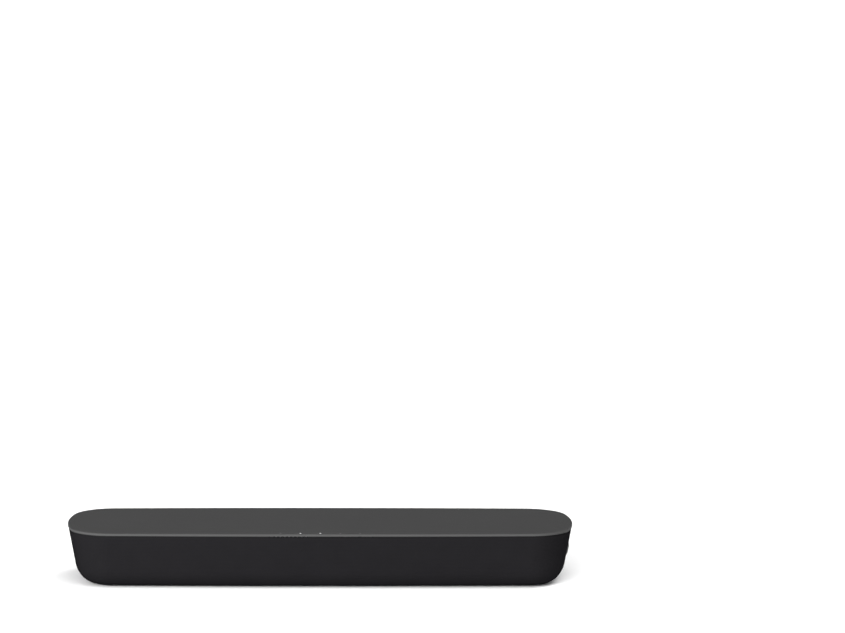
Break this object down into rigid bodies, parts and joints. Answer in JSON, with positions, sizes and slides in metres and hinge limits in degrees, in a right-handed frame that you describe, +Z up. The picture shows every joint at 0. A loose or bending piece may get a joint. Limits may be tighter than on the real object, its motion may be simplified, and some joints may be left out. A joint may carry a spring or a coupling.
{
  "type": "soundbar",
  "caption": "Compact low soundbar with a bowed flat lid, cloth-wrapped tapered front and ends, side keys and a recessed rear connector bay.",
  "frame": {"origin": "under the feet, at the middle of the outline", "axes": "+X right as seen from the front, the front faces -Y, +Z up"},
  "size_m": [0.45, 0.135, 0.051],
  "materials": {
    "lid_plastic": "fine texture, neutral dark grey",
    "grille_cloth": "fine charcoal knit",
    "black_plastic": "fine spark texture",
    "key_plastic": "satin black",
    "foot_rubber": "matt",
    "screw_steel": "black zinc",
    "insert_brass": "turned",
    "cone_paper": "pulp",
    "coil_copper": "enamelled winding",
    "spider_cloth": "resin-dipped cloth",
    "plated_steel": "nickel plate",
    "magnet_ferrite": "sintered ferrite",
    "green_board": "solder mask",
    "chip_black": "moulded",
    "sink_aluminium": "extruded",
    "capacitor_sleeve": "shrink sleeve",
    "shutter_plastic": "satin",
    "clear_guide": "clear light guide",
    "lead_sleeve": "lead insulation"
  },
  "bodies": {
    "cabinet": {"amplifier_chip": "chip_black", "board_screws": "screw_steel", "bottom_case": "black_plastic", "button_bezel": "black_plastic", "button_board": "green_board", "case_screws": "screw_steel", "driver_gaskets": "spider_cloth", "driver_screws": "screw_steel", "grille_cloth": "grille_cloth", "grille_frame": "black_plastic", "hdmi_socket": "plated_steel", "heat_sink": "sink_aluminium", "indicator_board": "green_board", "indicator_lamps": "clear_guide", "lead_connectors": "chip_black", "left_driver_frame": "black_plastic", "left_enclosure": "black_plastic", "left_magnet": "magnet_ferrite", "left_port_tube": "black_plastic", "left_spider": "spider_cloth", "left_surround": "foot_rubber", "left_top_plate": "plated_steel", "left_yoke": "plated_steel", "lit_indicators": "clear_guide", "main_board": "green_board", "mains_inlet": "chip_black", "optical_socket": "chip_black", "power_board": "green_board", "power_capacitors": "capacitor_sleeve", "radio_module": "plated_steel", "rear_cover": "black_plastic", "remote_receiver": "chip_black", "right_driver_frame": "black_plastic", "right_enclosure": "black_plastic", "right_magnet": "magnet_ferrite", "right_port_tube": "black_plastic", "right_spider": "spider_cloth", "right_surround": "foot_rubber", "right_top_plate": "plated_steel", "right_yoke": "plated_steel", "rubber_feet": "foot_rubber", "signal_capacitors": "capacitor_sleeve", "speaker_leads": "lead_sleeve", "tact_switches": "chip_black", "top_panel": "lid_plastic", "transformer": "chip_black", "unlit_indicators": "clear_guide", "usb_socket": "plated_steel", "wall_mount_inserts": "insert_brass"},
    "left_diaphragm": {"left_cone": "cone_paper", "left_dust_cap": "cone_paper", "left_voice_coil": "coil_copper"},
    "right_diaphragm": {"right_cone": "cone_paper", "right_dust_cap": "cone_paper", "right_voice_coil": "coil_copper"},
    "power_key": {"power_button": "key_plastic"},
    "input_key": {"input_button": "key_plastic"},
    "volume_down_key": {"volume_down_button": "key_plastic"},
    "volume_up_key": {"volume_up_button": "key_plastic"},
    "socket_shutter": {"optical_shutter": "shutter_plastic"}
  },
  "joints": [
    {"name": "power_key_press", "type": "slide", "parent": "cabinet", "child": "power_key", "axis": [-1, 0, 0], "range_m": [0, 0.0006], "stiffness_N_per_m": 2500},
    {"name": "input_key_press", "type": "slide", "parent": "cabinet", "child": "input_key", "axis": [-1, 0, 0], "range_m": [0, 0.0006], "stiffness_N_per_m": 2500},
    {"name": "volume_down_key_press", "type": "slide", "parent": "cabinet", "child": "volume_down_key", "axis": [-1, 0, 0], "range_m": [0, 0.0006], "stiffness_N_per_m": 2500},
    {"name": "volume_up_key_press", "type": "slide", "parent": "cabinet", "child": "volume_up_key", "axis": [-1, 0, 0], "range_m": [0, 0.0006], "stiffness_N_per_m": 2500},
    {"name": "left_diaphragm_stroke", "type": "slide", "parent": "cabinet", "child": "left_diaphragm", "axis": [0, -1, 0], "range_m": [-0.0015, 0.0015], "stiffness_N_per_m": 1500, "deforming": ["left_surround", "left_spider"]},
    {"name": "right_diaphragm_stroke", "type": "slide", "parent": "cabinet", "child": "right_diaphragm", "axis": [0, -1, 0], "range_m": [-0.0015, 0.0015], "stiffness_N_per_m": 1500, "deforming": ["right_surround", "right_spider"]},
    {"name": "socket_shutter_swing", "type": "hinge", "parent": "cabinet", "child": "socket_shutter", "pos_m": [-0.024, 0.0457, 0.0259], "axis": [-1, 0, 0], "range_deg": [0, 80], "stiffness_Nm_per_rad": 0.002, "springref_deg": -17.19}
  ]
}
